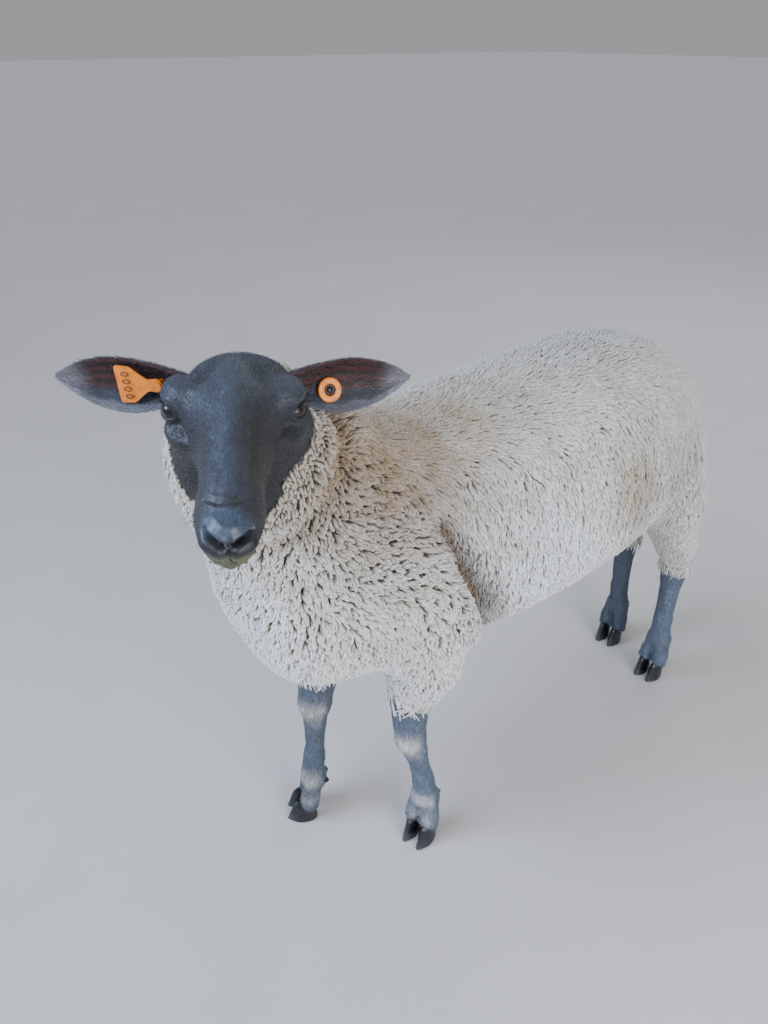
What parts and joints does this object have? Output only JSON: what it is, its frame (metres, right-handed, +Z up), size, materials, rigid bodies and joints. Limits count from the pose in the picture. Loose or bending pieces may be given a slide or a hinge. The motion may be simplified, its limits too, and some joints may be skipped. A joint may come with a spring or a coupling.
{
  "type": "shorn sheep",
  "caption": "Life-size still model of a standing black-faced sheep in short cream wool, its head turned to the left, with a plastic tag in each ear.",
  "frame": {"origin": "on the floor below the centre of the bounding box", "axes": "+Z up, -Y the way the trunk faces, +X the animal's left; the head is turned towards +X"},
  "size_m": [0.3833, 1.0078, 0.8446],
  "materials": {
    "wool": "short dense cream fleece in small curly nubs, soft and matte",
    "face_hair": "very short slate-black hair lying flat, with a soft satin sheen",
    "leg_hair": "short blue-grey hair lying flat, paler on the knees and pasterns, matte",
    "eye": "wet, glossy, dark brown eye with a level slot pupil",
    "horn": "blue-black hoof horn with fine growth rings, dull and a little worn",
    "tag_plastic": "moulded flexible orange plastic, satin, slightly scuffed"
  },
  "bodies": {
    "root": {"trunk": "wool", "neck": "wool", "tail": "wool", "fore_leg_left": "wool", "fore_leg_right": "wool", "hind_leg_left": "wool", "hind_leg_right": "wool", "head": "face_hair", "ear_left": "face_hair", "ear_right": "face_hair", "fore_shank_left": "leg_hair", "fore_shank_right": "leg_hair", "hind_shank_left": "leg_hair", "hind_shank_right": "leg_hair", "eye_left": "eye", "eye_right": "eye", "claw_fore_left_outer": "horn", "claw_fore_left_inner": "horn", "claw_fore_right_outer": "horn", "claw_fore_right_inner": "horn", "claw_hind_left_outer": "horn", "claw_hind_left_inner": "horn", "claw_hind_right_outer": "horn", "claw_hind_right_inner": "horn", "dewclaw_fore_left_outer": "horn", "dewclaw_fore_left_inner": "horn", "dewclaw_fore_right_outer": "horn", "dewclaw_fore_right_inner": "horn", "dewclaw_hind_left_outer": "horn", "dewclaw_hind_left_inner": "horn", "dewclaw_hind_right_outer": "horn", "dewclaw_hind_right_inner": "horn", "tag_flag_panel": "tag_plastic", "tag_flag_pin": "tag_plastic", "tag_round_face": "tag_plastic", "tag_round_pin": "tag_plastic"}
  },
  "joints": []
}
